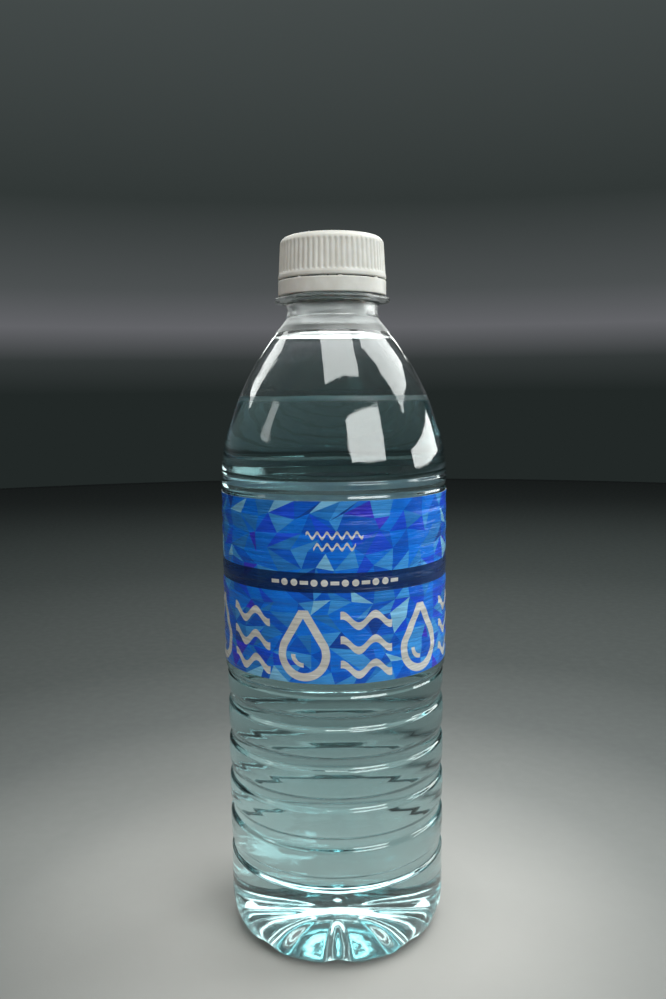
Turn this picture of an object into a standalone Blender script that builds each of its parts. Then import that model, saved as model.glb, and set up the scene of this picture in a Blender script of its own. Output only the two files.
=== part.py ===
"""Half-litre PET water bottle with a screw cap, a loose wad, a tamper band, a wrap label and its water.

The bottle stands on the origin with its axis on +Z. Lengths are in metres.
"""

import math

import bmesh
import bpy
from mathutils import Matrix

MM = 0.001

# Facets
BOTTLE_STEPS = 32
KNURL_COUNT = 60
FULL_TURN = 2.0 * math.pi

# Clearances: the gap between touching pieces, how far joined solids sink into each other, and how far a
# cutter reaches past what it cuts
GAP = 0.3 * MM
SINK = 0.3 * MM
OVERCUT = 1.0 * MM

# Neck finish, from the mouth down
MOUTH_HEIGHT = 200.9 * MM
BORE_RADIUS = 10.87 * MM
LIP_CHAMFER = 0.35 * MM
THREAD_ROOT_RADIUS = 12.47 * MM
THREAD_CREST_RADIUS = 13.6 * MM
THREAD_PITCH = 2.7 * MM
THREAD_TURNS = 1.8
THREAD_START_HEIGHT = 193.9 * MM
THREAD_ROOT_HALF_WIDTH = 0.9 * MM
THREAD_CREST_HALF_WIDTH = 0.4 * MM
THREAD_RUN_OUT = math.radians(30.0)
THREAD_END_SHARE = 0.2
LOCKING_BEAD_RADIUS = 14.0 * MM
LOCKING_BEAD_HEIGHT = 189.8 * MM
LOCKING_BEAD_HALF_EDGE = 0.3 * MM
LOCKING_BEAD_HALF_ROOT = 1.0 * MM
COLLAR_RADIUS = 12.9 * MM
SUPPORT_RING_RADIUS = 16.5 * MM
SUPPORT_RING_HEIGHT = 185.6 * MM
SUPPORT_RING_HALF_EDGE = 0.4 * MM
SUPPORT_RING_HALF_ROOT = 1.1 * MM
NECK_RADIUS = 13.08 * MM
NECK_FOOT_HEIGHT = 180.6 * MM

# Shoulder: one ogive curve from the neck down to the body
SHOULDER_TOP_RADIUS = 14.2 * MM
SHOULDER_TOP_HEIGHT = 179.2 * MM
SHOULDER_FOOT_RADIUS = 32.7 * MM
SHOULDER_FOOT_HEIGHT = 137.0 * MM
SHOULDER_TOP_ANGLE = math.radians(40.9)
SHOULDER_TOP_PULL = 21.2 * MM
SHOULDER_FOOT_PULL = 6.7 * MM
SHOULDER_POINTS = 9

# Bead above the label
SHOULDER_BEAD_RADIUS = 32.85 * MM
SHOULDER_BEAD_HEIGHT = 135.2 * MM
SHOULDER_BEAD_HALF_EDGE = 0.6 * MM
SHOULDER_BEAD_HALF_ROOT = 1.2 * MM

# Label panel, with shallow hoops behind the label
PANEL_RADIUS = 32.5 * MM
PANEL_TOP = 132.7 * MM
PANEL_HOOP_TOP = 128.6 * MM
PANEL_HOOP_PITCH = 5.2 * MM
PANEL_HOOP_COUNT = 9
PANEL_HOOP_DEPTH = 0.6 * MM
PANEL_BOTTOM = 80.8 * MM

# Lower body, with hoops
LOWER_RADIUS = 32.1 * MM
LOWER_TOP = 78.4 * MM
STEP_GROOVE_RADIUS = 31.8 * MM
STEP_GROOVE_HEIGHT = 79.5 * MM
HOOP_TOP = 71.5 * MM
HOOP_PITCH = 11.35 * MM
HOOP_COUNT = 5
HOOP_HALF_WIDTH = 2.3 * MM
HOOP_FLOOR_HALF_WIDTH = 0.7 * MM
HOOP_DEPTH = 0.8 * MM

# Base: a rounded heel, eight feet on one flat ring, and a domed push-up
HEEL_HEIGHT = 11.0 * MM
HEEL_POINTS = 5
FOOT_OUTER_RADIUS = 26.5 * MM
FOOT_INNER_RADIUS = 24.0 * MM
PUSH_UP_HEIGHT = 5.2 * MM
PUSH_UP_POINTS = 4
FLUTE_COUNT = 8
FLUTE_DEPTH = 1.5 * MM
FLUTE_INNER_RADIUS = 8.0 * MM
FLUTE_TOP_HEIGHT = 9.0 * MM

# Walls, and how far the inside's last point stands above the outside's at the top of the heel
WALL = 0.35 * MM
BASE_LIFT = 0.035 * MM

# Screw cap
CAP_TOP = 203.2 * MM
CAP_RIM = 191.35 * MM
CAP_RIM_RADIUS = 15.45 * MM
CAP_RIM_HEIGHT = 1.35 * MM
CAP_RIM_CHAMFER = 0.2 * MM
KNURL_FOOT_RADIUS = 15.25 * MM
KNURL_TOP_RADIUS = 14.8 * MM
KNURL_TOP = 200.9 * MM
KNURL_DEPTH = 0.35 * MM
CAP_CORNER_RADIUS = 2.3 * MM
CAP_CORNER_POINTS = 4
CAP_PANEL = 1.1 * MM
CAP_BORE_RADIUS = 13.92 * MM
CAP_SEAT_RADIUS = 13.3 * MM
CAP_SEAT_DEPTH = 1.0 * MM
CAP_SEAT_SLOPE = 0.6 * MM
CAP_THREAD_CREST_RADIUS = 12.85 * MM
CAP_THREAD_ROOT_HALF_WIDTH = 0.75 * MM
CAP_THREAD_CREST_HALF_WIDTH = 0.3 * MM
CAP_THREAD_TURNS = 1.6

# Sealing wad
WAD_RADIUS = 12.9 * MM
WAD_THICKNESS = 0.6 * MM

# Tamper band
BAND_RADIUS = 15.43 * MM
BAND_INNER_RADIUS = 14.45 * MM
BAND_TOP = 190.95 * MM
BAND_BOTTOM = 186.8 * MM
BAND_BEVEL = 0.35 * MM
FLAP_HINGE_HEIGHT = 187.8 * MM
FLAP_FOLD_RADIUS = 13.95 * MM
FLAP_TIP_RADIUS = 13.25 * MM
FLAP_TIP_HEIGHT = 188.9 * MM
FLAP_TIP_DROP = 0.2 * MM
FLAP_THICKNESS = 0.4 * MM
FLAP_SLOT_COUNT = 12
FLAP_SLOT_WIDTH = 0.8 * MM
FLAP_SLOT_HEIGHT = 2.2 * MM
BRIDGE_COUNT = 8
BRIDGE_ANGLE = math.radians(-81.4)
BRIDGE_SIZE = (0.8 * MM, 0.9 * MM)

# Wrap label
LABEL_TOP = 131.6 * MM
LABEL_BOTTOM = 82.8 * MM
LABEL_THICKNESS = 0.2 * MM
LABEL_SEAM_ANGLE = math.radians(135.0)
LABEL_LAP_STEPS = 2

# Water
WATER_HEIGHT = 157.0 * MM
WATER_EDGE = 1.0 * MM


def clear_scene():
    for item in list(bpy.data.objects):
        bpy.data.objects.remove(item, do_unlink=True)


def material(name, colour, roughness, alpha=1.0, transmission=0.0, ior=1.5):
    made = bpy.data.materials.new(name)
    made.use_nodes = True
    shader = made.node_tree.nodes["Principled BSDF"]
    shader.inputs["Base Color"].default_value = (*colour, 1.0)
    shader.inputs["Roughness"].default_value = roughness
    shader.inputs["Metallic"].default_value = 0.0
    shader.inputs["Alpha"].default_value = alpha
    shader.inputs["Transmission Weight"].default_value = transmission
    shader.inputs["IOR"].default_value = ior
    return made


def add_object(name, bm, surface=None):
    bmesh.ops.recalc_face_normals(bm, faces=bm.faces)
    mesh = bpy.data.meshes.new(name)
    bm.to_mesh(mesh)
    bm.free()
    if surface:
        mesh.materials.append(surface)
    mesh.shade_smooth()
    mesh.set_sharp_from_angle(angle=math.radians(30.0))
    made = bpy.data.objects.new(name, mesh)
    bpy.context.scene.collection.objects.link(made)
    return made


def helper(name, bm):
    """A solid that only joins or cuts another one."""
    made = add_object(name, bm)
    made.hide_render = True
    made.display_type = "WIRE"
    return made


def combine(target, tool, operation):
    step = target.modifiers.new(f"{operation.lower()}_{tool.name}", "BOOLEAN")
    step.operation = operation
    step.object = tool
    step.solver = "EXACT"


def spun(outline, steps, closed=True):
    """Turn an outline of (radius, height) points a full circle about Z."""
    bm = bmesh.new()
    points = [bm.verts.new((radius, 0.0, height)) for radius, height in outline]
    edges = [bm.edges.new(pair) for pair in zip(points, points[1:])]
    if closed:
        edges.append(bm.edges.new((points[-1], points[0])))
    bmesh.ops.spin(
        bm,
        geom=points + edges,
        cent=(0.0, 0.0, 0.0),
        axis=(0.0, 0.0, 1.0),
        angle=FULL_TURN,
        steps=steps,
        use_merge=True,
    )
    bmesh.ops.remove_doubles(bm, verts=bm.verts, dist=0.001 * MM)
    return bm


def bezier(start, start_pull, end_pull, end, count):
    """Points of a cubic curve, both ends included."""
    points = []
    for index in range(count + 1):
        t = index / count
        weights = ((1 - t) ** 3, 3 * (1 - t) ** 2 * t, 3 * (1 - t) * t * t, t**3)
        corners = (start, start_pull, end_pull, end)
        points.append(tuple(sum(w * c[axis] for w, c in zip(weights, corners)) for axis in (0, 1)))
    return points


def shoulder():
    """The ogive from the body up to the neck."""
    foot = (SHOULDER_FOOT_RADIUS, SHOULDER_FOOT_HEIGHT)
    foot_pull = (SHOULDER_FOOT_RADIUS, SHOULDER_FOOT_HEIGHT + SHOULDER_FOOT_PULL)
    top = (SHOULDER_TOP_RADIUS, SHOULDER_TOP_HEIGHT)
    top_pull = (
        SHOULDER_TOP_RADIUS + SHOULDER_TOP_PULL * math.sin(SHOULDER_TOP_ANGLE),
        SHOULDER_TOP_HEIGHT - SHOULDER_TOP_PULL * math.cos(SHOULDER_TOP_ANGLE),
    )
    return bezier(foot, foot_pull, top_pull, top, SHOULDER_POINTS)


def base_outline():
    """The underside and heel, from the axis out to the wall."""
    points = []
    for index in range(PUSH_UP_POINTS):
        share = index / PUSH_UP_POINTS
        points.append((FOOT_INNER_RADIUS * share, PUSH_UP_HEIGHT * math.cos(share * math.pi / 2)))
    points.append((FOOT_INNER_RADIUS, 0.0))
    for index in range(HEEL_POINTS + 1):
        angle = math.pi / 2 * index / HEEL_POINTS
        radius = FOOT_OUTER_RADIUS + (LOWER_RADIUS - FOOT_OUTER_RADIUS) * math.sin(angle)
        points.append((radius, HEEL_HEIGHT * (1 - math.cos(angle))))
    return points


def lower_hoops(floor_half_widths):
    """The five deep hoops, from the bottom one up, with one point for each given half width of the floor."""
    points = []
    for index in reversed(range(HOOP_COUNT)):
        centre = HOOP_TOP - index * HOOP_PITCH
        points.append((LOWER_RADIUS, centre - HOOP_HALF_WIDTH))
        points += [(LOWER_RADIUS - HOOP_DEPTH, centre + offset) for offset in floor_half_widths]
        points.append((LOWER_RADIUS, centre + HOOP_HALF_WIDTH))
    return points


def panel_hoops():
    """The shallow hoops behind the label, from the bottom one up."""
    points = []
    for index in reversed(range(PANEL_HOOP_COUNT)):
        centre = PANEL_HOOP_TOP - index * PANEL_HOOP_PITCH
        points += [
            (PANEL_RADIUS, centre - PANEL_HOOP_PITCH / 2),
            (PANEL_RADIUS - PANEL_HOOP_DEPTH, centre),
        ]
    points.append((PANEL_RADIUS, PANEL_HOOP_TOP + PANEL_HOOP_PITCH / 2))
    return points


def ridge_points(radius, height, half_edge, half_root, lower_foot, upper_foot):
    """A ridge round the wall, which may stand on a different radius below and above."""
    return [
        (lower_foot, height - half_root),
        (radius, height - half_edge),
        (radius, height + half_edge),
        (upper_foot, height + half_root),
    ]


def neck_outer():
    """The outside of the neck finish without its thread, from its foot up to the lip."""
    points = [(NECK_RADIUS, NECK_FOOT_HEIGHT)]
    points += ridge_points(
        SUPPORT_RING_RADIUS,
        SUPPORT_RING_HEIGHT,
        SUPPORT_RING_HALF_EDGE,
        SUPPORT_RING_HALF_ROOT,
        NECK_RADIUS,
        COLLAR_RADIUS,
    )
    points += ridge_points(
        LOCKING_BEAD_RADIUS,
        LOCKING_BEAD_HEIGHT,
        LOCKING_BEAD_HALF_EDGE,
        LOCKING_BEAD_HALF_ROOT,
        COLLAR_RADIUS,
        THREAD_ROOT_RADIUS,
    )
    points += [
        (THREAD_ROOT_RADIUS, MOUTH_HEIGHT - LIP_CHAMFER),
        (THREAD_ROOT_RADIUS - LIP_CHAMFER, MOUTH_HEIGHT),
    ]
    return points


def bottle_outer():
    """The outside, from the base's centre up to the lip."""
    points = base_outline()
    points += lower_hoops((-HOOP_FLOOR_HALF_WIDTH, HOOP_FLOOR_HALF_WIDTH))
    points += [
        (LOWER_RADIUS, LOWER_TOP),
        (STEP_GROOVE_RADIUS, STEP_GROOVE_HEIGHT),
        (PANEL_RADIUS, PANEL_BOTTOM),
    ]
    points += panel_hoops()
    points.append((PANEL_RADIUS, PANEL_TOP))
    points += ridge_points(
        SHOULDER_BEAD_RADIUS,
        SHOULDER_BEAD_HEIGHT,
        SHOULDER_BEAD_HALF_EDGE,
        SHOULDER_BEAD_HALF_ROOT,
        PANEL_RADIUS,
        PANEL_RADIUS,
    )
    return points + shoulder() + neck_outer()


def bottle_inner():
    """The inside, from the lip down to the base's centre."""
    points = [
        (BORE_RADIUS + LIP_CHAMFER, MOUTH_HEIGHT),
        (BORE_RADIUS, MOUTH_HEIGHT - LIP_CHAMFER),
        (BORE_RADIUS, NECK_FOOT_HEIGHT),
    ]
    points += [(radius - WALL, height - WALL) for radius, height in reversed(shoulder()[2:-1])]
    panel_inner = PANEL_RADIUS - PANEL_HOOP_DEPTH - WALL
    points += [
        (panel_inner, SHOULDER_FOOT_HEIGHT),
        (panel_inner, PANEL_BOTTOM),
        (STEP_GROOVE_RADIUS - WALL, LOWER_TOP),
    ]
    points += [(radius - WALL, height) for radius, height in reversed(lower_hoops((0.0,)))]
    for radius, height in reversed(base_outline()):
        share = min(height / HEEL_HEIGHT, 1.0)
        inset = WALL * math.sqrt(share) if radius > FOOT_OUTER_RADIUS else 0.0
        points.append((radius - inset, height + WALL * (1.0 - share) + BASE_LIFT * share))
    return points


def flute_base(bm):
    """Press eight radial flutes into the base, which leave eight feet between them."""
    middle = (FOOT_INNER_RADIUS + FOOT_OUTER_RADIUS) / 2
    for vert in bm.verts:
        radius = math.hypot(vert.co.x, vert.co.y)
        if radius < FLUTE_INNER_RADIUS or vert.co.z > FLUTE_TOP_HEIGHT:
            continue
        angle = math.atan2(vert.co.y, vert.co.x)
        across = max(0.0, math.cos(FLUTE_COUNT * angle)) ** 2
        reach = middle - FLUTE_INNER_RADIUS if radius < middle else LOWER_RADIUS - middle
        along = max(0.0, 1.0 - abs(radius - middle) / reach)
        vert.co.z += FLUTE_DEPTH * across * math.sqrt(along)


def thread(name, root_radius, crest_radius, half_widths, start, turns, start_height):
    """A screw ridge that winds up from start_height, with both ends run out to a low step."""
    root_half, crest_half = half_widths
    steps = round(turns * BOTTLE_STEPS)
    inward = crest_radius < root_radius
    sunk_radius = root_radius + SINK if inward else root_radius - SINK
    bm = bmesh.new()
    sections = []
    for index in range(steps + 1):
        turn = FULL_TURN * index / BOTTLE_STEPS
        height = start_height + THREAD_PITCH * turn / FULL_TURN
        run_out = min(turn, FULL_TURN * steps / BOTTLE_STEPS - turn) / THREAD_RUN_OUT
        share = THREAD_END_SHARE + (1.0 - THREAD_END_SHARE) * min(1.0, run_out)
        crest = root_radius + share * (crest_radius - root_radius)
        corners = (
            (sunk_radius, height - root_half),
            (crest, height - crest_half),
            (crest, height + crest_half),
            (sunk_radius, height + root_half),
        )
        angle = start + turn
        sections.append([bm.verts.new((r * math.cos(angle), r * math.sin(angle), z)) for r, z in corners])
    for low, high in zip(sections, sections[1:]):
        for side in range(4):
            after = (side + 1) % 4
            bm.faces.new((low[side], low[after], high[after], high[side]))
    bm.faces.new(sections[0])
    bm.faces.new(sections[-1])
    return helper(name, bm)


def make_bottle(surface):
    bm = spun(bottle_outer() + bottle_inner(), BOTTLE_STEPS, closed=False)
    flute_base(bm)
    bottle = add_object("bottle", bm, surface)
    ridge = thread(
        "bottle_thread_helper",
        THREAD_ROOT_RADIUS,
        THREAD_CREST_RADIUS,
        (THREAD_ROOT_HALF_WIDTH, THREAD_CREST_HALF_WIDTH),
        0.0,
        THREAD_TURNS,
        THREAD_START_HEIGHT,
    )
    combine(bottle, ridge, "UNION")


def cap_outer():
    """The cap's outside as a full solid, from its underside's centre to its top's centre."""
    rim_top = CAP_RIM + CAP_RIM_HEIGHT
    points = [
        (0.0, CAP_RIM),
        (CAP_RIM_RADIUS - CAP_RIM_CHAMFER, CAP_RIM),
        (CAP_RIM_RADIUS, CAP_RIM + CAP_RIM_CHAMFER),
        (KNURL_FOOT_RADIUS, rim_top),
        (KNURL_FOOT_RADIUS, rim_top + CAP_RIM_CHAMFER),
        (KNURL_TOP_RADIUS, KNURL_TOP),
    ]
    for index in range(1, CAP_CORNER_POINTS + 1):
        angle = math.pi / 2 * index / CAP_CORNER_POINTS
        radius = KNURL_TOP_RADIUS - CAP_CORNER_RADIUS * (1 - math.cos(angle))
        points.append((radius, KNURL_TOP + CAP_CORNER_RADIUS * math.sin(angle)))
    points.append((0.0, CAP_TOP))
    return points


def knurl_cap(bm, steps):
    """Press every second column of the skirt in, from the rim up to the corner."""
    foot = CAP_RIM + CAP_RIM_HEIGHT + CAP_RIM_CHAMFER / 2
    top = KNURL_TOP + CAP_RIM_CHAMFER / 2
    for vert in bm.verts:
        column = round(math.atan2(vert.co.y, vert.co.x) / FULL_TURN * steps)
        if column % 2 and foot < vert.co.z < top:
            radius = math.hypot(vert.co.x, vert.co.y)
            inner = (radius - KNURL_DEPTH) / radius
            vert.co.x *= inner
            vert.co.y *= inner


def make_cap(surface):
    steps = 2 * KNURL_COUNT
    bm = spun(cap_outer(), steps, closed=False)
    knurl_cap(bm, steps)
    cap = add_object("cap_shell", bm, surface)
    roof = CAP_TOP - CAP_PANEL
    hollow = [
        (0.0, CAP_RIM - OVERCUT),
        (CAP_BORE_RADIUS, CAP_RIM - OVERCUT),
        (CAP_BORE_RADIUS, roof - CAP_SEAT_DEPTH - CAP_SEAT_SLOPE),
        (CAP_SEAT_RADIUS, roof - CAP_SEAT_DEPTH),
        (CAP_SEAT_RADIUS, roof),
        (0.0, roof),
    ]
    combine(cap, helper("cap_hollow_helper", spun(hollow, BOTTLE_STEPS, closed=False)), "DIFFERENCE")
    ridge = thread(
        "cap_thread_helper",
        CAP_BORE_RADIUS,
        CAP_THREAD_CREST_RADIUS,
        (CAP_THREAD_ROOT_HALF_WIDTH, CAP_THREAD_CREST_HALF_WIDTH),
        0.0,
        CAP_THREAD_TURNS,
        THREAD_START_HEIGHT - THREAD_PITCH / 2,
    )
    combine(cap, ridge, "UNION")


def make_wad(surface):
    foot = MOUTH_HEIGHT + GAP
    outline = [(0.0, foot), (WAD_RADIUS, foot), (WAD_RADIUS, foot + WAD_THICKNESS), (0.0, foot + WAD_THICKNESS)]
    add_object("cap_liner", spun(outline, BOTTLE_STEPS, closed=False), surface)


def band_outline():
    """The ring's section, with its flap folded up inside."""
    return [
        (BAND_RADIUS - BAND_BEVEL, BAND_BOTTOM),
        (BAND_RADIUS, BAND_BOTTOM + BAND_BEVEL),
        (BAND_RADIUS, BAND_TOP - BAND_BEVEL),
        (BAND_RADIUS - BAND_BEVEL, BAND_TOP),
        (BAND_INNER_RADIUS, BAND_TOP),
        (BAND_INNER_RADIUS, FLAP_HINGE_HEIGHT),
        (FLAP_TIP_RADIUS + FLAP_THICKNESS, FLAP_TIP_HEIGHT),
        (FLAP_TIP_RADIUS, FLAP_TIP_HEIGHT - FLAP_TIP_DROP),
        (FLAP_FOLD_RADIUS, BAND_BOTTOM),
    ]


def flap_slots():
    """Bars across the ring, which part the flaps."""
    bm = bmesh.new()
    bars = FLAP_SLOT_COUNT // 2
    length = 2 * BAND_INNER_RADIUS - SINK
    for index in range(bars):
        turned = Matrix.Rotation(math.pi * index / bars, 4, "Z")
        raised = Matrix.Translation((0.0, 0.0, BAND_BOTTOM + FLAP_SLOT_HEIGHT))
        sized = Matrix.Diagonal((length, FLAP_SLOT_WIDTH, FLAP_SLOT_HEIGHT, 1.0))
        bmesh.ops.create_cube(bm, size=1.0, matrix=raised @ turned @ sized)
    return helper("flap_slot_helper", bm)


def bridge_stubs():
    """What is left on the ring of the bridges that joined it to the cap."""
    bm = bmesh.new()
    depth, width = BRIDGE_SIZE
    height = CAP_RIM - GAP - BAND_TOP + SINK
    radius = BAND_RADIUS - BAND_BEVEL - depth / 2
    for index in range(BRIDGE_COUNT):
        turned = Matrix.Rotation(BRIDGE_ANGLE + FULL_TURN * index / BRIDGE_COUNT, 4, "Z")
        moved = Matrix.Translation((radius, 0.0, BAND_TOP - SINK + height / 2))
        sized = Matrix.Diagonal((depth, width, height, 1.0))
        bmesh.ops.create_cube(bm, size=1.0, matrix=turned @ moved @ sized)
    return helper("bridge_helper", bm)


def make_band(surface):
    band = add_object("tamper_band", spun(band_outline(), BOTTLE_STEPS), surface)
    combine(band, flap_slots(), "DIFFERENCE")
    combine(band, bridge_stubs(), "UNION")


def make_label(surface):
    """A film wound once round the panel, whose last stretch laps over its start."""
    bm = bmesh.new()
    inner_radius = PANEL_RADIUS + GAP
    columns = []
    for index in range(BOTTLE_STEPS + LABEL_LAP_STEPS + 1):
        is_lapped = index >= BOTTLE_STEPS
        radius = inner_radius + (LABEL_THICKNESS + GAP if is_lapped else 0.0)
        angle = LABEL_SEAM_ANGLE + FULL_TURN * index / BOTTLE_STEPS
        corners = (
            (radius, LABEL_BOTTOM),
            (radius + LABEL_THICKNESS, LABEL_BOTTOM),
            (radius + LABEL_THICKNESS, LABEL_TOP),
            (radius, LABEL_TOP),
        )
        columns.append([bm.verts.new((r * math.cos(angle), r * math.sin(angle), z)) for r, z in corners])
    for first, second in zip(columns, columns[1:]):
        for side in range(4):
            after = (side + 1) % 4
            bm.faces.new((first[side], first[after], second[after], second[side]))
    bm.faces.new(columns[0])
    bm.faces.new(columns[-1])
    add_object("label", bm, surface)


def make_water(surface):
    """The water's own shape, a gap inside the walls."""
    inset = WALL + GAP
    hoop_floor = LOWER_RADIUS - HOOP_DEPTH - inset
    panel_inner = PANEL_RADIUS - PANEL_HOOP_DEPTH - inset
    lift = FLUTE_DEPTH + inset + GAP
    outline = [(min(radius, hoop_floor), height + lift) for radius, height in base_outline()]
    outline += [
        (hoop_floor, HOOP_TOP + HOOP_HALF_WIDTH),
        (panel_inner, PANEL_BOTTOM),
        (panel_inner, SHOULDER_FOOT_HEIGHT),
    ]
    outline += [
        (radius - inset - GAP, height - inset)
        for radius, height in shoulder()[2:]
        if height - inset < WATER_HEIGHT - WATER_EDGE
    ]
    last_radius, last_height = outline[-1]
    outline += [
        (last_radius - (WATER_HEIGHT - last_height) / 2, WATER_HEIGHT),
        (0.0, WATER_HEIGHT),
    ]
    add_object("water", spun(outline, BOTTLE_STEPS, closed=False), surface)


def main():
    clear_scene()
    clear_pet = material("clear_pet", (0.92, 0.96, 0.96), 0.05, alpha=0.35, transmission=1.0, ior=1.57)
    white_pe = material("white_pe", (0.86, 0.85, 0.82), 0.38)
    foam_pe = material("foam_pe", (0.90, 0.90, 0.88), 0.7)
    blue_film = material("blue_film", (0.02, 0.20, 0.72), 0.28)
    water = material("water", (0.86, 0.95, 0.96), 0.0, alpha=0.5, transmission=1.0, ior=1.333)
    make_bottle(clear_pet)
    make_cap(white_pe)
    make_wad(foam_pe)
    make_band(white_pe)
    make_label(blue_film)
    make_water(water)


main()
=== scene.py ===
"""Looks of the half-litre PET water bottle: its fine shapes, materials, studio and camera.

Shapes are worked out in millimetres, and add_mesh() converts them to metres. The camera and the windows are placed
in metres.
"""

import math
import random

import bmesh
import bpy
import numpy as np
from mathutils import Matrix, Vector


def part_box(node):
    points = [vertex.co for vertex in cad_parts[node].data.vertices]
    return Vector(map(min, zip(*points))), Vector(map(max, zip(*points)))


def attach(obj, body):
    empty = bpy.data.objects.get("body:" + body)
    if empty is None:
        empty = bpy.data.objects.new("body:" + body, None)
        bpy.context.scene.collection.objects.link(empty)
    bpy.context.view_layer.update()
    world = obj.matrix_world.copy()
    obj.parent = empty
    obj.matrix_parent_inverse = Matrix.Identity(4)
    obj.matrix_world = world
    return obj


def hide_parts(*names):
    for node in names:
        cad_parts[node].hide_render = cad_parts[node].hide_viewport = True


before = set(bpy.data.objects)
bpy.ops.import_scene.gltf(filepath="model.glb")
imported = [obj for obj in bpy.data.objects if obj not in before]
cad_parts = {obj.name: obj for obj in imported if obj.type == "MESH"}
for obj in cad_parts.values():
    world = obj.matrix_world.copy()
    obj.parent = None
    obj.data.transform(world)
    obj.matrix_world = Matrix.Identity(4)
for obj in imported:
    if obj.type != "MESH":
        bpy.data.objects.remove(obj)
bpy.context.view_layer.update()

MM = 0.001
FULL_TURN = 2.0 * math.pi
RANDOM_SEED = 11


def node_span(node):
    """A CAD node's radius, lowest height and highest height, in millimetres."""
    low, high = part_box(node)
    return high.x / MM, low.z / MM, high.z / MM


# Sizes that the frame gives
_, _, MOUTH = node_span("bottle")
CAP_RIM_RADIUS, CAP_RIM, CAP_TOP = node_span("cap_shell")
WAD_RADIUS, WAD_FOOT, WAD_TOP = node_span("cap_liner")
BAND_RADIUS, BAND_FOOT, _ = node_span("tamper_band")
_, LABEL_FOOT, LABEL_TOP = node_span("label")
_, _, WATER_LEVEL = node_span("water")

# Bottle: neck finish
BOTTLE_COLUMNS = 256
BORE_RADIUS = 10.87
LIP_FILLET = 0.35
THREAD_ROOT = 12.47
THREAD_DEPTH = 1.13
THREAD_PITCH = 2.7
THREAD_TURNS = 1.8
THREAD_START = 193.9
THREAD_HALF_WIDTHS = (0.9, 0.35)
THREAD_FADE_TURNS = 0.06
THREAD_ROW_SPACING = 0.16
THREAD_EDGE = 0.1
VENT_COUNT = 4
VENT_HALF_ANGLE = math.radians(7.0)
VENT_EDGES = (0.7, 1.3)
LOCKING_BEAD_RADIUS = 14.0
LOCKING_BEAD = 189.8
COLLAR_RADIUS = 12.9
RING_RADIUS = 16.5
RING = 185.6
RING_HALF_THICKNESS = 0.42
RING_FILLET = 0.32
NECK_RADIUS = 13.08
NECK_FOOT = 180.6

# Bottle: shoulder, bead, panel and hoops
SHOULDER_TOP = (14.2, 179.2)
SHOULDER_FOOT = (32.7, 137.0)
SHOULDER_TOP_ANGLE = math.radians(40.9)
SHOULDER_TOP_PULL = 21.2
SHOULDER_FOOT_PULL = 6.7
SHOULDER_ROWS = 56
SHOULDER_FOOT_GAP = 0.8
BEAD_RADIUS = 32.85
BEAD = 135.2
BEAD_GROOVE = 0.22
PANEL_RADIUS = 32.66
PANEL_TOP = 132.7
PANEL_FOOT = 80.8
PANEL_HOOP_TOP = 128.6
PANEL_HOOP_PITCH = 5.2
PANEL_HOOP_COUNT = 9
PANEL_HOOP_SIZE = (0.6, 1.7, 0.4)
PANEL_HOOP_FILLETS = (0.9, 0.7)
LOWER_RADIUS = 32.1
LOWER_TOP = 78.4
STEP_DEPTH = 0.3
STEP_FLOOR = (0.6, 1.4)
HOOP_TOP = 71.5
HOOP_PITCH = 11.35
HOOP_COUNT = 5
HOOP_SIZE = (0.85, 2.2, 1.3)
HOOP_FILLETS = (1.4, 1.4)
LAND_CROWN = 0.12
LAND_FILLET = 14.0
WALL_ROW_SPACING = 1.2

# Bottle: heel and base
HEEL_HEIGHT = 11.0
FOOT_OUTER = 26.5
FOOT_INNER = 24.0
PUSH_UP = 5.2
BASE_ROWS = 20
FLUTE_COUNT = 8
FLUTE_DEPTH = 1.5
FLUTE_INNER = 8.0
FLUTE_TOP = 9.0
FLUTE_FADE = 4.0

# Bottle: walls and the water against them
WALL = 0.35
NECK_WALL = 2.2
BORE_ROW_SPACING = 1.5
WALL_THICKENS_FROM = 175.0
WALL_THICKENS_POWER = 1.2
MENISCUS_RISE = 1.7
MENISCUS_REACH = 1.9
WETTED_DEPTH = 0.16
RIPPLE = 0.045
RIPPLE_RADII = (20.0, 28.0)
RIPPLE_HEIGHTS = (8.0, 16.0)

# Looks of the bottle and the water
PET_IOR = 1.57
PET_TINTS = ((0.965, 0.985, 0.985), (0.985, 0.995, 0.995))
HAZE_MIDDLE = 178.6
HAZE_HALF_HEIGHT = 2.4
HAZE_EDGE = 0.5
HAZE_ROUGHNESS = 0.34
NECK_HAZE_TOP = 186.7
NECK_HAZE_ROUGHNESS = 0.2
WATER_IOR = 1.333
WATER_ABSORBS = (0.30, 0.82, 0.86, 1.0)
WATER_DENSITY = 10.0
CLINGING_ROUGHNESS = 0.45
CLINGING_BELOW = 0.6
CLINGING_ABOVE = 0.9

# Cap
KNURL_COUNT = 60
CAP_COLUMNS = 12 * KNURL_COUNT
KNURL_FOOT = 192.9
KNURL_TOP = 200.9
KNURL_DEPTH = 0.3
CAP_FOOT_RADIUS = 15.25
CAP_TOP_RADIUS = 14.8
CAP_CORNER = 2.3
CAP_ROOF = 1.1
CAP_RECESS = 0.12
CAP_GATE_DEPTH = 0.35
CAP_ROW_SPACING = 2.5
CAP_BORE = 13.92
CAP_SEAT = 13.3
CAP_THREAD_DEPTH = 1.07
CAP_THREAD_START = THREAD_START - THREAD_PITCH / 2
CAP_THREAD_TURNS = THREAD_TURNS - 0.2
CAP_THREAD_HALF_WIDTHS = (0.75, 0.25)
LIP_PRINT = 0.08

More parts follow.
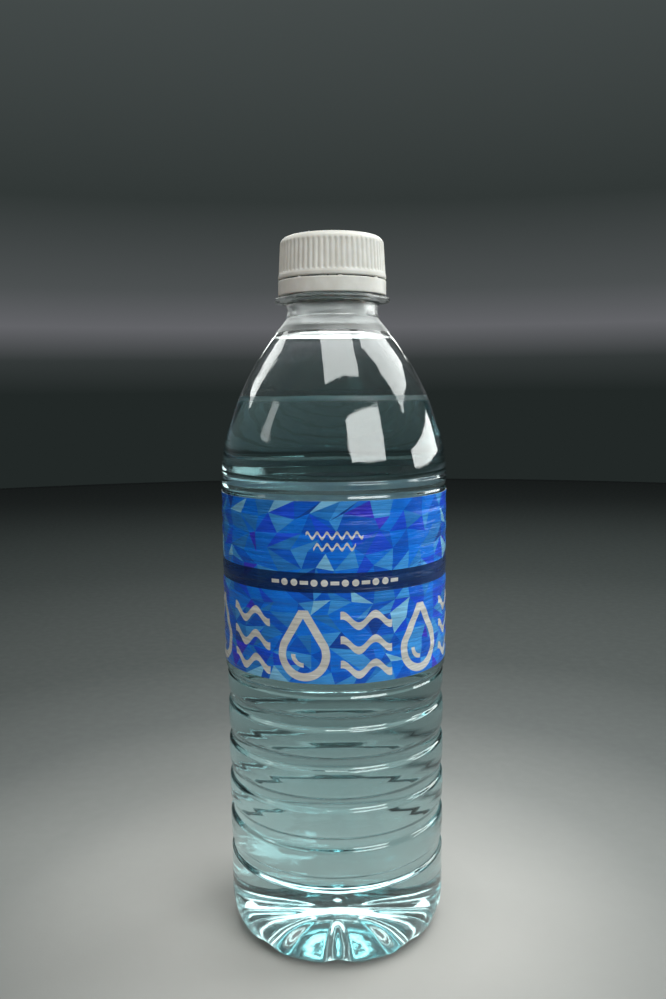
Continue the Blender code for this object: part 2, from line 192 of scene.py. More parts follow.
# Tamper band
BAND_COLUMNS = 360
BAND_TOP = 190.95
BAND_INNER = 14.45
FLAP_COUNT = 12
FLAP_TIP = (13.25, 188.9)
FLAP_SLOT_HALF_ANGLE = math.radians(1.7)
BRIDGE_COUNT = 8
BRIDGE_ANGLE = math.radians(-81.4)
BRIDGE_HALF_ANGLE = math.radians(1.6)
BRIDGE_BREAK = 0.08
NEAR_EDGES = (0.75, 1.25)
BAND_ROW_SPACING = 0.35

# Label
LABEL_RADIUS = 32.84
LABEL_FILM = 0.12
LABEL_SEAM = math.radians(135.0)
LABEL_LAP = 11.0
LABEL_LAP_RISE = 0.2
LABEL_LAP_RAMP = (9.0, 1.0)
LABEL_SAG = 0.14
LABEL_CREASE = math.radians(60.0)
FACET_SIZE = 5.4
FACET_ROW_SHARE = 0.86
FACET_STAGGER = 0.3
FACET_JITTER_ALONG = 0.34
FACET_JITTER_UP = 0.3
FACET_SPLITS = 6
FACET_TINTS = (
    ((12, 116, 232), 8),
    ((10, 92, 205), 5),
    ((62, 148, 228), 4),
    ((24, 80, 224), 3),
    ((38, 122, 204), 3),
    ((14, 68, 160), 1),
    ((58, 56, 208), 1),
    ((128, 192, 238), 1),
)
RIM_TINT = (200, 214, 224)

# Label: white marks and the dark band
NIGHT_BAND = (107.4, 112.7)
NIGHT_BAND_INK = 0.94
MARK_COUNT = 12
MARK_EDGE = 0.05
DROP_MIDDLE = 90.6
DROP_BELLY = 6.1
DROP_RISE = 12.0
DROP_HALF_STROKE = 1.1
SHINE_RADIUS = 2.9
SHINE_HALF_STROKE = 0.6
WAVE_FOOT = 83.4
WAVE_COUNT = 3
WAVE_PITCH = 6.6
WAVE_LENGTH = 9.0
WAVE_HEIGHT = 1.5
WAVE_HALF_STROKE = 1.05
WAVE_HALF_WIDTH = 7.2
SMALL_WAVES = ((122.6, 7.6), (119.6, 5.6))
SMALL_WAVE_LENGTH = 2.6
SMALL_WAVE_HEIGHT = 0.75
SMALL_WAVE_HALF_STROKE = 0.42
ROW_HEIGHT = 110.05
ROW_BEAT = 2.75
ROW_HALF_BEATS = 6.5
DOT_RADIUS = 0.95
DASH_HALF_LENGTH = 1.15
DASH_HALF_HEIGHT = 0.5

# Noise formulas mostly lie within this span
NOISE_SPAN = (0.3, 0.7)

# Studio
CAMERA_PLACE = Vector((-0.0003, -0.2634, 0.1596))
CAMERA_PITCH = math.radians(6.8)
CAMERA_ROLL = math.radians(-0.5)
CAMERA_LENS = 32.43
FLOOR_RADIUS = 1400.0
FLOOR_THICKNESS = 5.0
FLOOR_ROW_SPACING = 50.0
FLOOR_COLUMNS = 128
# Painted pool of light on the floor: pale round the bottle, darkening outwards into painted shade
FLOOR_LIGHT_POOL_TINTS = (
    (0.0, (190, 188, 184)),
    (0.04, (182, 180, 177)),
    (0.08, (136, 137, 135)),
    (0.13, (98, 101, 100)),
    (0.2, (72, 76, 75)),
    (0.4, (50, 55, 54)),
    (1.0, (30, 35, 34)),
)
AIR_TINTS = (
    (0.0, (34, 40, 39)),
    (0.035, (52, 57, 57)),
    (0.07, (98, 99, 103)),
    (0.11, (76, 80, 81)),
    (0.2, (50, 56, 55)),
    (1.0, (108, 116, 116)),
)
SHOULDER_MIDDLE = 0.15
WINDOW_REACH = 0.9
WINDOW_TINT = (0.96, 1.0, 0.98)
WINDOWS = (
    # name, azimuth and elevation in degrees, size in metres, brightness
    ("window_low", 36, 25, (0.58, 0.38), 4.8),
    ("window_high", 16, 72, (0.56, 0.56), 4.6),
    ("window_high_side", 112, 46, (0.62, 0.6), 4.2),
    ("window_side", 110, 9, (0.8, 0.17), 4.8),
    ("window_left_low", -79, 26, (0.14, 0.24), 1.6),
    ("window_left_back", -126, 31, (0.26, 0.36), 3.4),
    ("window_back", 180, 25, (0.8, 0.3), 3.0),
)
FILL = ("fill_left", -50, 20, (0.8, 0.8), 0.7)
FILL_TINT = (1.0, 0.86, 0.76)


# ---------------------------------------------------------------- outlines


def arc_corner(before, corner, after, fillet, steps):
    """Points of the arc that rounds one corner of an outline."""
    to_before = before - corner
    to_after = after - corner
    reach_before = np.linalg.norm(to_before)
    reach_after = np.linalg.norm(to_after)
    to_before = to_before / reach_before
    to_after = to_after / reach_after
    half = math.acos(max(-1.0, min(1.0, float(to_before @ to_after)))) / 2
    if half > math.pi / 2 - 0.01:
        return [corner]
    reach = min(fillet / math.tan(half), 0.49 * reach_before, 0.49 * reach_after)
    radius = reach * math.tan(half)
    middle = to_before + to_after
    centre = corner + middle / np.linalg.norm(middle) * radius / math.sin(half)
    start = corner + to_before * reach - centre
    end = corner + to_after * reach - centre
    sweep = math.atan2(start[0] * end[1] - start[1] * end[0], float(start @ end))
    points = []
    for step in range(steps + 1):
        angle = sweep * step / steps
        turn = np.array([[math.cos(angle), -math.sin(angle)], [math.sin(angle), math.cos(angle)]])
        points.append(centre + turn @ start)
    return points


def filleted(corners, steps=6):
    """An outline through (radius, height, fillet) corners, with each corner rounded by its fillet."""
    places = [np.array(corner[:2], float) for corner in corners]
    points = [places[0]]
    for index in range(1, len(corners) - 1):
        fillet = corners[index][2]
        if fillet:
            points += arc_corner(places[index - 1], places[index], places[index + 1], fillet, steps)
        else:
            points.append(places[index])
    points.append(places[-1])
    return points


def spaced(points, spacing):
    """The same outline with extra points, so that none are further apart than spacing."""
    result = [points[0]]
    for before, after in zip(points, points[1:]):
        pieces = max(1, math.ceil(np.linalg.norm(np.subtract(after, before)) / spacing))
        for piece in range(1, pieces + 1):
            result.append(before + (np.array(after) - before) * piece / pieces)
    return result


def inset(points, depth):
    """The outline moved inwards by depth(height), for an outline that runs outwards and up."""
    places = np.array(points)
    along = np.gradient(places, axis=0)
    along /= np.linalg.norm(along, axis=1)[:, None]
    inwards = np.stack([-along[:, 1], along[:, 0]], axis=1)
    depths = np.array([depth(height) for height in places[:, 1]])
    moved = places + inwards * depths[:, None]
    moved[:, 0] = np.maximum(moved[:, 0], 0.0)
    moved[0, 0] = 0.0
    return list(moved)


def smooth(low, high, value):
    """0 below low, 1 above high, and an S-curve between."""
    share = np.clip((value - low) / (high - low), 0.0, 1.0)
    return share * share * (3.0 - 2.0 * share)


# ---------------------------------------------------------------- meshes


def add_mesh(name, points, faces):
    """A mesh object from points in millimetres and faces, with the faces turned outwards."""
    mesh = bpy.data.meshes.new(name)
    mesh.from_pydata((np.asarray(points) * MM).tolist(), [], faces)
    solid = bmesh.new()
    solid.from_mesh(mesh)
    if solid.calc_volume(signed=True) < 0.0:
        mesh.flip_normals()
    solid.free()
    mesh.shade_smooth()
    made = bpy.data.objects.new(name, mesh)
    bpy.context.scene.collection.objects.link(made)
    return made


def turned(name, outline, columns, shape=None, ring=False):
    """An outline of (radius, height) points turned about the axis.

    shape(radius, height, angle) moves the points, and a ring's outline closes on itself.
    """
    rows = np.array(outline, float)
    angle = np.broadcast_to(np.arange(columns) * FULL_TURN / columns, (len(rows), columns))
    radius = np.repeat(rows[:, :1], columns, axis=1)
    height = np.repeat(rows[:, 1:], columns, axis=1)
    poles = rows[:, 0] < 1e-6
    if shape:
        radius, height = shape(radius, height, angle)
    grid = np.stack([radius * np.cos(angle), radius * np.sin(angle), height], axis=-1)
    points = []
    index = np.zeros((len(rows), columns), int)
    for row in range(len(rows)):
        if poles[row]:
            index[row] = len(points)
            points.append(np.array([0.0, 0.0, grid[row, 0, 2]]))
        else:
            index[row] = np.arange(columns) + len(points)
            points += list(grid[row])
    faces = []
    pairs = [(row, row + 1) for row in range(len(rows) - 1)]
    if ring:
        pairs.append((len(rows) - 1, 0))
    for low, high in pairs:
        for column in range(columns):
            after = (column + 1) % columns
            corners = (index[low, column], index[low, after], index[high, after], index[high, column])
            face = tuple(dict.fromkeys(int(corner) for corner in corners))
            if len(face) > 2:
                faces.append(face)
    return add_mesh(name, points, faces)


# ---------------------------------------------------------------- shader formulas


def srgb(red, green, blue):
    """A colour given as 0 to 255 screen values, as the linear light that shaders use."""
    shares = [value / 255 for value in (red, green, blue)]
    return tuple(s / 12.92 if s <= 0.04045 else ((s + 0.055) / 1.055) ** 2.4 for s in shares)


def fill_ramp(node, stops):
    """Gives a colour ramp node its (position, colour) stops."""
    elements = node.color_ramp.elements
    while len(elements) < len(stops):
        elements.new(0.5)
    for element, (position, colour) in zip(elements, stops):
        element.position = position
        element.color = (*colour, 1.0)


def lit(tints):
    """Ramp stops from (position, screen colour) pairs."""
    return [(position, srgb(*tint)) for position, tint in tints]


class Formula:
    """A number that shader nodes work out, so that a pattern can be written as a formula."""

    def __init__(self, tree, socket):
        self.tree = tree
        self.socket = socket

    def math(self, operation, *others):
        node = self.tree.nodes.new("ShaderNodeMath")
        node.operation = operation
        for slot, value in zip(node.inputs, (self, *others)):
            if isinstance(value, Formula):
                self.tree.links.new(value.socket, slot)
            else:
                slot.default_value = value
        return Formula(self.tree, node.outputs[0])

    def __add__(self, other):
        return self.math("ADD", other)

    def __sub__(self, other):
        return self.math("SUBTRACT", other)

    def __mul__(self, other):
        return self.math("MULTIPLY", other)

    def __truediv__(self, other):
        return self.math("DIVIDE", other)

    def __abs__(self):
        return self.math("ABSOLUTE")

    def floor(self):
        return self.math("FLOOR")

    def modulo(self, period):
        return self.math("FLOORED_MODULO", period)

    def sine(self):
        return self.math("SINE")

    def lowest(self, other):
        return self.math("MINIMUM", other)

    def highest(self, other):
        return self.math("MAXIMUM", other)

    def below(self, limit):
        return self.math("LESS_THAN", limit)

    def length(self, other):
        return (self * self + other * other).math("SQRT")

    def inside(self):
        """1 where a distance is negative, 0 where it is positive, with a thin soft edge."""
        share = self * (-1.0 / MARK_EDGE) + 0.5
        return share.highest(0.0).lowest(1.0)

    def between(self, low, high):
        """1 from low to high, with thin soft edges."""
        return (abs(self - (low + high) / 2) - (high - low) / 2).inside()

    def choose(self, if_zero, if_one):
        """if_zero where this is 0 and if_one where it is 1."""
        return if_zero + (if_one - if_zero) * self


class Finish:
    """One procedural material: a Principled shader and the nodes that feed it."""

    def __init__(self, name, **constants):
        self.material = bpy.data.materials.new(name)
        self.material.use_nodes = True
        self.tree = self.material.node_tree
        self.shader = self.tree.nodes["Principled BSDF"]
        for label, value in constants.items():
            self.shader.inputs[label.replace("_", " ")].default_value = value
        self.place = self.node("ShaderNodeTexCoord").outputs["Object"]

    def node(self, kind, **settings):
        made = self.tree.nodes.new(kind)
        for label, value in settings.items():
            setattr(made, label, value)
        return made

    def link(self, source, target):
        self.tree.links.new(source, target)

    def stretched(self, stretch=(1.0, 1.0, 1.0)):
        """The object's own coordinates, in millimetres, stretched along each axis."""
        mapping = self.node("ShaderNodeMapping")
        self.link(self.place, mapping.inputs["Vector"])
        mapping.inputs["Scale"].default_value = tuple(1.0 / (MM * share) for share in stretch)
        return mapping.outputs["Vector"]

    def axes(self):
        """The object's own x, y and z, in millimetres."""
        split = self.node("ShaderNodeSeparateXYZ")
        self.link(self.stretched(), split.inputs["Vector"])
        return [Formula(self.tree, split.outputs[axis]) for axis in "XYZ"]

    def noise(self, size, detail=3.0, roughness=0.5, stretch=(1.0, 1.0, 1.0)):
        """Soft noise whose blobs are about size millimetres across, as a formula from 0 to 1."""
        noise = self.node("ShaderNodeTexNoise")
        self.link(self.stretched([size * share for share in stretch]), noise.inputs["Vector"])
        noise.inputs["Scale"].default_value = 1.0
        noise.inputs["Detail"].default_value = detail
        noise.inputs["Roughness"].default_value = roughness
        return Formula(self.tree, noise.outputs["Fac"])

    def ramp(self, factor, stops):
        """Colours (position, colour) along a formula."""
        ramp = self.node("ShaderNodeValToRGB")
        self.link(factor.socket, ramp.inputs["Fac"])
        fill_ramp(ramp, stops)
        return ramp.outputs["Color"]

    def mottle(self, factor, first, second, span=NOISE_SPAN):
        """Two colours that run into each other along a noise formula."""
        return self.ramp(factor, [(span[0], first), (span[1], second)])

    def blend(self, factor, first, second):
        """The first colour where the formula is 0, and the second where it is 1."""
        mix = self.node("ShaderNodeMix", data_type="RGBA", blend_type="MIX")
        self.link(factor.socket, mix.inputs["Factor"])
        self.link(first, mix.inputs["A"])
        self.link(second, mix.inputs["B"])
        return mix.outputs["Result"]

    def ranged(self, factor, low, high, source=NOISE_SPAN):
        """A formula's source span brought to low and high."""
        span = self.node("ShaderNodeMapRange")
        self.link(factor.socket, span.inputs["Value"])
        for label, value in zip(("From Min", "From Max", "To Min", "To Max"), (*source, low, high)):
            span.inputs[label].default_value = value
        return Formula(self.tree, span.outputs["Result"])

    def set(self, label, value):
        self.link(value.socket if isinstance(value, Formula) else value, self.shader.inputs[label])

    def bump(self, *layers):
        """Relief from (formula, height in millimetres) layers."""
        normal = None
        for factor, height in layers:
            bump = self.node("ShaderNodeBump")
            bump.inputs["Distance"].default_value = height * MM
            self.link(factor.socket, bump.inputs["Height"])
            if normal:
                self.link(normal, bump.inputs["Normal"])
            normal = bump.outputs["Normal"]
        self.link(normal, self.shader.inputs["Normal"])


# ---------------------------------------------------------------- materials


def clear_pet_finish():
    """Blown PET: nearly colourless and glossy, with faint flow lines, an uneven skin and a haze below the neck."""
    finish = Finish("clear_pet_look", Transmission_Weight=1.0, IOR=PET_IOR)
    flow = finish.noise(3.0, detail=4.0, stretch=(1.0, 1.0, 9.0))
    skin = finish.noise(9.0, detail=2.0)
    swell = finish.noise(24.0, detail=1.0)
    finish.set("Base Color", finish.mottle(flow, *PET_TINTS))
    _, _, height = finish.axes()
    edge = (HAZE_HALF_HEIGHT - HAZE_EDGE, HAZE_HALF_HEIGHT)
    haze = finish.ranged(abs(height - HAZE_MIDDLE), HAZE_ROUGHNESS, 0.0, source=edge)
    neck_haze = height.between(HAZE_MIDDLE + HAZE_HALF_HEIGHT, NECK_HAZE_TOP) * NECK_HAZE_ROUGHNESS
    gloss = finish.ranged(finish.noise(5.0, detail=5.0), 0.008, 0.04)
    finish.set("Roughness", gloss + haze + neck_haze)
    finish.bump((swell, 0.2), (skin, 0.08), (flow, 0.014))
    return finish.material


def water_finish():
    """Clean water with a slight blue-green tint, and a hazy line of fine bubbles where it clings to the wall."""
    finish = Finish("water_look", Transmission_Weight=1.0, IOR=WATER_IOR, Base_Color=(0.99, 1.0, 1.0, 1.0))
    _, _, height = finish.axes()
    waterline = (WATER_LEVEL - CLINGING_BELOW, WATER_LEVEL + CLINGING_ABOVE)
    clinging = finish.ranged(height, 0.0, CLINGING_ROUGHNESS, source=waterline)
    finish.set("Roughness", finish.ranged(finish.noise(12.0), 0.0, 0.006) + clinging)
    finish.bump((finish.noise(14.0, detail=1.0), 0.04))
    absorption = finish.node("ShaderNodeVolumeAbsorption")
    absorption.inputs["Color"].default_value = WATER_ABSORBS
    absorption.inputs["Density"].default_value = WATER_DENSITY
    output = finish.tree.nodes["Material Output"]
    finish.link(absorption.outputs["Volume"], output.inputs["Volume"])
    return finish.material


def moulded_white_finish():
    """White polyethylene: a waxy moulded skin, slightly mottled, with fine scuffs."""
    finish = Finish(
        "moulded_white_look",
        Subsurface_Weight=0.25,
        Subsurface_Scale=0.0012,
        Subsurface_Radius=(1.0, 0.8, 0.6),
        IOR=1.5,
    )
    cloudy = finish.noise(4.0, detail=4.0)
    finish.set("Base Color", finish.mottle(cloudy, srgb(222, 219, 212), srgb(236, 234, 229)))
    scuffs = finish.noise(0.5, detail=5.0, roughness=0.7, stretch=(1.0, 1.0, 3.0))
    finish.set("Roughness", finish.ranged(scuffs, 0.3, 0.52))
    finish.bump((finish.noise(0.35, detail=3.0), 0.012), (scuffs, 0.01))
    return finish.material


def foam_finish():
    """Foamed polyethylene sheet with fine open cells."""
    finish = Finish("foam_look", IOR=1.5)
    cells = finish.node("ShaderNodeTexVoronoi", feature="SMOOTH_F1")
    finish.link(finish.stretched((0.35, 0.35, 0.35)), cells.inputs["Vector"])
    cells.inputs["Scale"].default_value = 1.0
    pores = Formula(finish.tree, cells.outputs["Distance"])
    foam = finish.mottle(pores, srgb(205, 205, 200), srgb(238, 238, 234), span=(0.1, 0.6))
    finish.set("Base Color", foam)
    finish.set("Roughness", finish.ranged(finish.noise(1.0), 0.6, 0.8))
    finish.bump((pores, 0.06))
    return finish.material


# ---------------------------------------------------------------- bottle and water


def base_points():
    """The underside from the axis to the foot ring, and the heel up to the wall."""
    dome = [
        np.array([FOOT_INNER * share, PUSH_UP * math.cos(share * math.pi / 2)])
        for share in np.linspace(0.0, 1.0, BASE_ROWS)
    ]
    heel = [
        np.array([FOOT_OUTER + (LOWER_RADIUS - FOOT_OUTER) * math.sin(angle), HEEL_HEIGHT * (1 - math.cos(angle))])
        for angle in np.linspace(0.0, math.pi / 2, BASE_ROWS)
    ]
    return dome + heel


def groove(radius, centre, size, fillets):
    """Corners of one groove round a wall, from its lower edge to its upper edge."""
    depth, half_width, floor_half_width = size
    edge_fillet, floor_fillet = fillets
    return [
        (radius, centre - half_width, edge_fillet),
        (radius - depth, centre - floor_half_width, floor_fillet),
        (radius - depth, centre + floor_half_width, floor_fillet),
        (radius, centre + half_width, edge_fillet),
    ]


def wall_corners():
    """Corners of the hooped wall, the step, the panel and the bead, from the heel up."""
    corners = [(LOWER_RADIUS, HEEL_HEIGHT, 0.0)]
    for index in reversed(range(HOOP_COUNT)):
        centre = HOOP_TOP - index * HOOP_PITCH
        corners += groove(LOWER_RADIUS, centre, HOOP_SIZE, HOOP_FILLETS)
        if index:
            corners.append((LOWER_RADIUS + LAND_CROWN, centre + HOOP_PITCH / 2, LAND_FILLET))
    corners += [
        (LOWER_RADIUS, LOWER_TOP, 0.5),
        (LOWER_RADIUS - STEP_DEPTH, LOWER_TOP + STEP_FLOOR[0], 0.4),
        (LOWER_RADIUS - STEP_DEPTH, LOWER_TOP + STEP_FLOOR[1], 0.4),
        (PANEL_RADIUS, PANEL_FOOT, 0.8),
    ]
    for index in reversed(range(PANEL_HOOP_COUNT)):
        centre = PANEL_HOOP_TOP - index * PANEL_HOOP_PITCH
        corners += groove(PANEL_RADIUS, centre, PANEL_HOOP_SIZE, PANEL_HOOP_FILLETS)
    corners += [
        (PANEL_RADIUS, PANEL_TOP - 0.6, 0.5),
        (PANEL_RADIUS - BEAD_GROOVE, PANEL_TOP, 0.4),
        (PANEL_RADIUS - BEAD_GROOVE, PANEL_TOP + 0.5, 0.4),
        (BEAD_RADIUS, BEAD - 0.8, 0.8),
        (BEAD_RADIUS, BEAD + 0.6, 0.8),
        (SHOULDER_FOOT[0] - BEAD_GROOVE, SHOULDER_FOOT[1] - 0.5, 0.4),
        (SHOULDER_FOOT[0], SHOULDER_FOOT[1] + 0.4, 0.0),
    ]
    return corners


def shoulder_points():
    """The ogive from the bead up to the neck: one cubic curve."""
    foot = np.array(SHOULDER_FOOT)
    top = np.array(SHOULDER_TOP)
    foot_pull = foot + np.array([0.0, SHOULDER_FOOT_PULL])
    lean = np.array([math.sin(SHOULDER_TOP_ANGLE), -math.cos(SHOULDER_TOP_ANGLE)])
    top_pull = top + SHOULDER_TOP_PULL * lean
    pulls = (foot, foot_pull, top_pull, top)
    points = []
    for t in np.linspace(0.0, 1.0, SHOULDER_ROWS):
        weights = ((1 - t) ** 3, 3 * (1 - t) ** 2 * t, 3 * (1 - t) * t * t, t**3)
        points.append(sum(weight * corner for weight, corner in zip(weights, pulls)))
    return [point for point in points if point[1] > SHOULDER_FOOT[1] + SHOULDER_FOOT_GAP]


def body_points():
    """The outside from the base's centre up to the neck's foot."""
    wall = spaced(filleted(wall_corners()), WALL_ROW_SPACING)
    return base_points() + wall[1:] + shoulder_points()


def neck_points():
    """The outside of the neck finish, from its foot up to the lip."""
    corners = [
        (SHOULDER_TOP[0] - 0.05, SHOULDER_TOP[1] + 0.08, 0.0),
        (NECK_RADIUS, NECK_FOOT, 2.0),
        (NECK_RADIUS, RING - 1.2, 0.6),
        (RING_RADIUS, RING - RING_HALF_THICKNESS, RING_FILLET),
        (RING_RADIUS, RING + RING_HALF_THICKNESS, RING_FILLET),
        (COLLAR_RADIUS, RING + 0.85, 0.5),
        (COLLAR_RADIUS, LOCKING_BEAD - 0.9, 0.4),
        (LOCKING_BEAD_RADIUS, LOCKING_BEAD - 0.45, 0.25),
        (LOCKING_BEAD_RADIUS, LOCKING_BEAD + 0.2, 0.35),
        (THREAD_ROOT, LOCKING_BEAD + 1.2, 0.4),
    ]
    thread_zone = [
        (THREAD_ROOT, height, 0.0)
        for height in np.arange(LOCKING_BEAD + 1.6, MOUTH - LIP_FILLET - 0.1, THREAD_ROW_SPACING)
    ]
    lip = [(THREAD_ROOT, MOUTH, LIP_FILLET), (THREAD_ROOT - 0.8, MOUTH, 0.0)]
    return filleted(corners + thread_zone + lip, steps=5)


def wall_depth(height):
    """How thick the wall is at a height: thin in the body, thick in the neck."""
    thickened = float(smooth(WALL_THICKENS_FROM, NECK_FOOT, height)) ** WALL_THICKENS_POWER
    return WALL + (NECK_WALL - WALL) * thickened


def ridge(height, angle, start, half_widths, turns):
    """How far a screw thread stands out, from 0 to 1."""
    root_half, crest_half = half_widths
    stands = np.zeros_like(height)
    for wrap in range(math.ceil(turns)):
        turn = angle / FULL_TURN + wrap
        away = np.abs(height - (start + THREAD_PITCH * turn))
        across = smooth(0.0, 1.0, (root_half - away) / (root_half - crest_half))
        ends = smooth(0.0, THREAD_FADE_TURNS, turn) * smooth(0.0, THREAD_FADE_TURNS, turns - turn)
        stands = np.maximum(stands, across * ends)
    return stands


def ripple(height, angle):
    """The blown wall's slight unevenness, in millimetres."""
    slow = np.sin(3 * angle + 0.7) * np.sin(height / 21.0)
    quick = np.sin(7 * angle - 1.1 + height / 35.0) * np.cos(height / 13.0)
    return RIPPLE * (slow + 0.6 * quick)


def pressed_base(radius, height, angle):
    """How far the base is pressed up by its radial flutes."""
    middle = (FOOT_INNER + FOOT_OUTER) / 2
    across = np.maximum(0.0, np.cos(FLUTE_COUNT * angle)) ** 2
    reach = np.where(radius < middle, middle - FLUTE_INNER, LOWER_RADIUS - middle)
    along = np.maximum(0.0, 1.0 - np.abs(radius - middle) / reach)
    fades = (radius > FLUTE_INNER) * (1.0 - smooth(FLUTE_TOP - FLUTE_FADE, FLUTE_TOP, height))
    return FLUTE_DEPTH * across * np.sqrt(along) * fades


def blown(radius, height, angle):
    """The shape that the bottle's wall and the water share: flutes and a slight unevenness."""
    uneven = smooth(*RIPPLE_RADII, radius) * smooth(*RIPPLE_HEIGHTS, height)
    height = height + pressed_base(radius, height, angle)
    return radius + ripple(height, angle) * uneven, height


def bottle_shape(radius, height, angle):
    """The blown shape, with the screw thread outside its mouth, cut through by vents."""
    threaded = (np.abs(radius - THREAD_ROOT) < THREAD_EDGE) & (height > LOCKING_BEAD + 1.0)
    vent = (angle * VENT_COUNT / FULL_TURN + 0.5) % 1.0 - 0.5
    vent = smooth(*VENT_EDGES, np.abs(vent) * FULL_TURN / VENT_COUNT / VENT_HALF_ANGLE)
    stands = ridge(height, angle, THREAD_START, THREAD_HALF_WIDTHS, THREAD_TURNS)
    with_thread = radius + threaded * THREAD_DEPTH * stands * vent
    return blown(with_thread, height, angle)


def make_bottle():
    """The whole moulding, one closed wall: its outside, over the lip, and down its inside."""
    outside = body_points()
    bore = filleted(
        [
            (BORE_RADIUS, NECK_FOOT + 0.6, 0.0),
            (BORE_RADIUS, MOUTH, LIP_FILLET),
            (THREAD_ROOT - 0.8, MOUTH, 0.0),
        ]
    )
    inside = inset(outside, wall_depth) + spaced(bore, BORE_ROW_SPACING)[:-1]
    outline = outside + neck_points() + inside[::-1]
    bottle = turned("bottle_blown", outline, BOTTLE_COLUMNS, bottle_shape)
    bottle.data.materials.append(clear_pet_finish())
    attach(bottle, "bottle")
    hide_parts("bottle")


def make_water():
    """The water, which reaches a little way into the wall so that no film of air is left between them."""
    reach = inset(body_points(), lambda height: WETTED_DEPTH)
    wetted = [point for point in reach if point[1] < WATER_LEVEL + MENISCUS_RISE]
    contact = wetted[-1][0]
    near_wall = np.linspace(0.15, 4.0, 16)
    open_water = np.linspace(5.0, contact, 12)
    surface = []
    for away in np.concatenate([near_wall, open_water]):
        height = WATER_LEVEL + MENISCUS_RISE * math.exp(-away / MENISCUS_REACH)
        surface.append(np.array([max(contact - away, 0.0), height]))
    water = turned("water_body", wetted + surface, BOTTLE_COLUMNS, blown)
    water.data.materials.append(water_finish())
    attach(water, "bottle")
    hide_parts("water")


# ---------------------------------------------------------------- closure


def cap_points():
    """The cap from under the middle of its roof, down the bore, and up the outside to the middle of its top."""
    roof = CAP_TOP - CAP_ROOF
    inner = [
        (0.0, roof, 0.0),
        (CAP_SEAT, roof, 0.25),
        (CAP_SEAT, roof - 1.0, 0.3),
        (CAP_BORE, roof - 1.6, 0.4),
    ]
    thread_rows = np.arange(roof - 2.2, CAP_RIM + 0.6, -THREAD_ROW_SPACING)
    inner += [(CAP_BORE, height, 0.0) for height in thread_rows]
    outer = [
        (CAP_BORE, CAP_RIM + 0.5, 0.2),
        (CAP_BORE + 0.35, CAP_RIM, 0.2),
        (CAP_RIM_RADIUS, CAP_RIM, 0.3),
        (CAP_RIM_RADIUS - 0.05, CAP_RIM + 1.0, 0.35),
        (CAP_FOOT_RADIUS, KNURL_FOOT, 0.25),
    ]
    for share in np.linspace(0.04, 1.0, 22):
        radius = CAP_FOOT_RADIUS + (CAP_TOP_RADIUS - CAP_FOOT_RADIUS) * share
        outer.append((radius, KNURL_FOOT + (KNURL_TOP - KNURL_FOOT) * share, 0.0))
    for angle in np.linspace(0.0, math.pi / 2, 12)[1:]:
        radius = CAP_TOP_RADIUS - CAP_CORNER * (1 - math.cos(angle))
        outer.append((radius, KNURL_TOP + (CAP_TOP - KNURL_TOP) * math.sin(angle), 0.0))
    recess = CAP_TOP - CAP_RECESS
    gate = CAP_TOP - CAP_GATE_DEPTH
    outer += [
        (11.6, CAP_TOP, 0.0),
        (11.3, recess, 0.2),
        (1.3, recess, 0.1),
        (1.1, gate, 0.1),
        (0.55, gate, 0.1),
        (0.45, recess, 0.1),
        (0.0, recess, 0.0),
    ]
    return spaced(filleted(inner + outer, steps=4), CAP_ROW_SPACING)


def cap_shape(radius, height, angle):
    """Sixty rounded ribs outside and the screw thread inside."""
    wave = 0.5 - 0.5 * np.cos(KNURL_COUNT * angle)
    outside = radius > (CAP_BORE + CAP_TOP_RADIUS) / 2
    above_foot = smooth(KNURL_FOOT - 0.02, KNURL_FOOT + 0.3, height)
    below_top = 1 - smooth(KNURL_TOP - 0.5, KNURL_TOP + 1.0, height)
    valley = KNURL_DEPTH * outside * above_foot * below_top * wave**1.4
    bored = (np.abs(radius - CAP_BORE) < 0.05) & (height > CAP_RIM + 0.4)
    stands = ridge(height, angle, CAP_THREAD_START, CAP_THREAD_HALF_WIDTHS, CAP_THREAD_TURNS)
    return radius - valley - bored * CAP_THREAD_DEPTH * stands, height


def make_cap(finish):
    """The screw cap without its band."""
    cap = turned("cap_moulded", cap_points(), CAP_COLUMNS, cap_shape)
    cap.data.materials.append(finish)
    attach(cap, "cap")
    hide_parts("cap_shell")


def make_wad():
    """The foam wad, with the ring that the lip has pressed into it."""
    outline = filleted(
        [
            (0.0, WAD_FOOT, 0.0),
            (BORE_RADIUS - 0.2, WAD_FOOT, 0.1),
            (BORE_RADIUS, WAD_FOOT + LIP_PRINT, 0.1),
            (THREAD_ROOT - 0.2, WAD_FOOT + LIP_PRINT, 0.1),
            (THREAD_ROOT, WAD_FOOT, 0.1),
            (WAD_RADIUS, WAD_FOOT, 0.12),
            (WAD_RADIUS, WAD_TOP, 0.12),
            (0.0, WAD_TOP, 0.0),
        ],
        steps=4,
    )
    wad = turned("wad_foam", spaced(outline, BORE_ROW_SPACING), BOTTLE_COLUMNS)
    wad.data.materials.append(foam_finish())
    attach(wad, "liner")
    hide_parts("cap_liner")


def band_points():
    """The ring's section: outside wall, top edge, inside wall, and the flap folded up from the lower edge."""
    tip_radius, tip_height = FLAP_TIP
    corners = [
        (BAND_RADIUS - 0.5, BAND_FOOT, 0.0),
        (BAND_RADIUS, BAND_FOOT, 0.35),
        (BAND_RADIUS, BAND_TOP, 0.3),
        (BAND_RADIUS - 0.45, BAND_TOP, 0.0),
        (BAND_INNER, BAND_TOP, 0.2),
        (BAND_INNER, BAND_FOOT + 1.0, 0.1),
        (tip_radius + 0.4, tip_height, 0.08),
        (tip_radius, tip_height - 0.2, 0.08),
        (BAND_INNER - 0.5, BAND_FOOT, 0.2),
        (BAND_RADIUS - 0.6, BAND_FOOT, 0.0),
    ]
    return spaced(filleted(corners, steps=4), BAND_ROW_SPACING)


